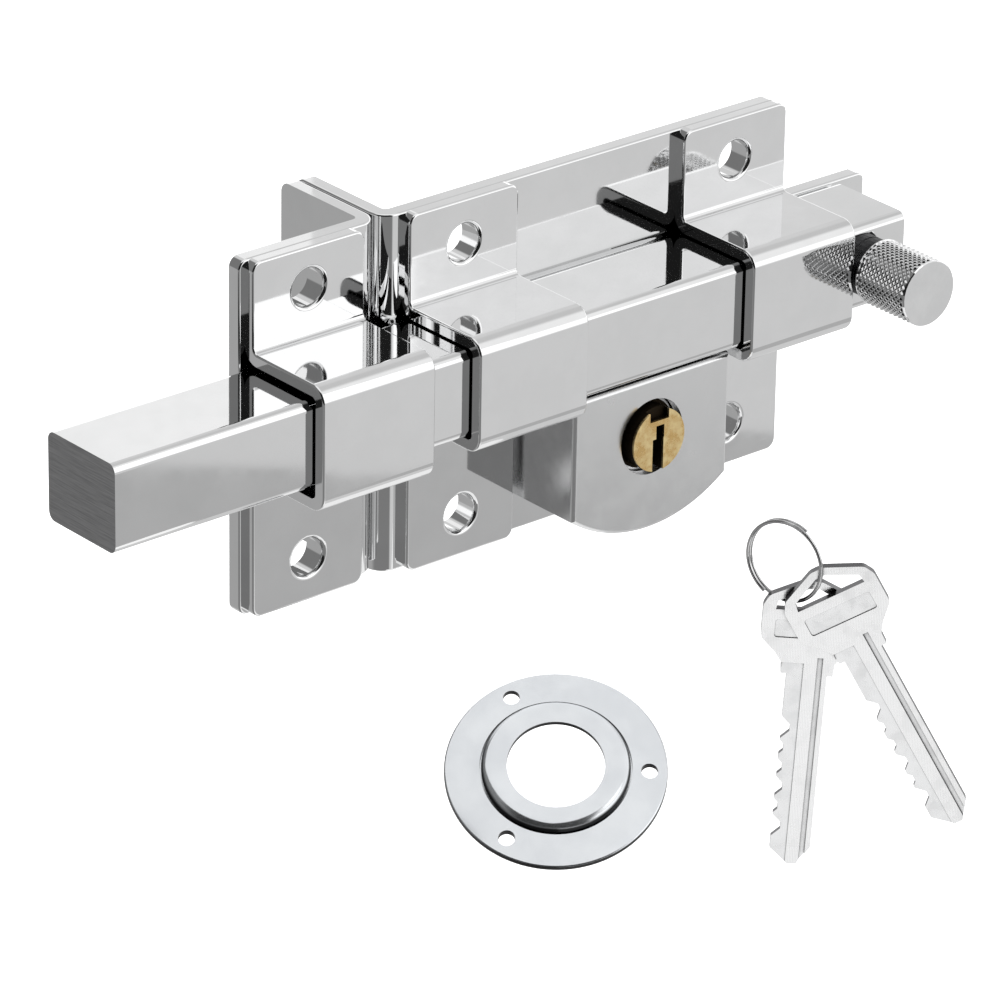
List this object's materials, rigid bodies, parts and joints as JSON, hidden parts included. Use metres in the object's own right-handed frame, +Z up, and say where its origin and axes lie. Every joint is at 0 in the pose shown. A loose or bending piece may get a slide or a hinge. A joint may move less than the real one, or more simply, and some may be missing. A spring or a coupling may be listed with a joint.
{
  "type": "keyed sliding bar lock",
  "caption": "Surface-mounted sliding bar lock with a keyed case, three strap keepers, an angled strike, a loose rosette and a pair of keys on a split ring.",
  "frame": {"origin": "centre of the main plate's four screw holes, on the plate's back face", "axes": "+X along the bar towards its knob, +Y back into the leaf, +Z up"},
  "size_m": [0.1773, 0.0546, 0.1425],
  "materials": {
    "chrome_sheet": "mirror chrome plate",
    "chrome_strap": "mirror chrome plate",
    "bar_chrome": "mirror chrome plate, sawn left end",
    "knob_chrome": "diamond-knurled chrome plate",
    "case_chrome": "satin chrome plate",
    "brass": "turned brass",
    "steel": "bright zinc",
    "rosette_steel": "polished stainless",
    "key_nickel": "nickel-plated brass",
    "ring_steel": "nickel-plated spring steel"
  },
  "bodies": {
    "lock_body": {"main_plate": "chrome_sheet", "middle_keeper": "chrome_strap", "end_keeper": "chrome_strap", "lock_case": "case_chrome", "case_screws": "steel", "cylinder_screws": "steel", "cylinder_body": "brass", "driver_pins": "brass", "pin_springs": "steel", "spring_cover": "brass", "stop_pin": "steel", "dog_spring": "steel"},
    "bolt": {"bolt_bar": "bar_chrome", "knob": "knob_chrome", "knob_stud": "steel"},
    "plug": {"plug": "brass", "key_pins": "brass", "dog_cam": "steel", "plug_clip": "steel"},
    "dog": {"locking_dog": "steel"},
    "strike": {"strike_plate": "chrome_sheet", "strike_keeper": "chrome_strap"},
    "rosette": {"rosette_flange": "rosette_steel"},
    "guard_ring": {"guard_ring": "rosette_steel"},
    "key_ring": {"split_ring": "ring_steel"},
    "key_a": {"key_a": "key_nickel"},
    "key_b": {"key_b": "key_nickel"}
  },
  "joints": [
    {"name": "bolt_slide", "type": "slide", "parent": "lock_body", "child": "bolt", "axis": [1, 0, 0], "range_m": [0, 0.066]},
    {"name": "plug_turn", "type": "hinge", "parent": "lock_body", "child": "plug", "pos_m": [0, -0.0086, -0.0132], "axis": [0, 1, 0], "range_deg": [0, 90]},
    {"name": "dog_lift", "type": "slide", "parent": "lock_body", "child": "dog", "axis": [0, 0, 1], "range_m": [0, 0.0039], "deforming": ["dog_spring"]},
    {"name": "strike_off", "type": "slide", "parent": "lock_body", "child": "strike", "axis": [-1, 0, 0], "range_m": [0, 0.07]},
    {"name": "rosette_off", "type": "slide", "parent": "lock_body", "child": "rosette", "axis": [0, -1, 0], "range_m": [0, 0.03]},
    {"name": "guard_ring_spin", "type": "hinge", "parent": "rosette", "child": "guard_ring", "pos_m": [-0.0189, -0.018, -0.0686], "axis": [-0.3553, -0.403, 0.8434], "continuous": true},
    {"name": "key_ring_off", "type": "slide", "parent": "lock_body", "child": "key_ring", "axis": [0, -1, 0], "range_m": [0, 0.03]},
    {"name": "key_a_swing", "type": "hinge", "parent": "key_ring", "child": "key_a", "pos_m": [0.04431, -0.00553, -0.06103], "axis": [-0.6468, -0.7627, 0], "range_deg": [-25, 20]},
    {"name": "key_b_swing", "type": "hinge", "parent": "key_ring", "child": "key_b", "pos_m": [0.04517, -0.00875, -0.05929], "axis": [-0.6468, -0.7627, 0], "range_deg": [-12, 16]}
  ],
  "couplings": [
    {"joint": "plug_turn", "follows": "dog_lift", "rad_per_m": 402.76}
  ]
}
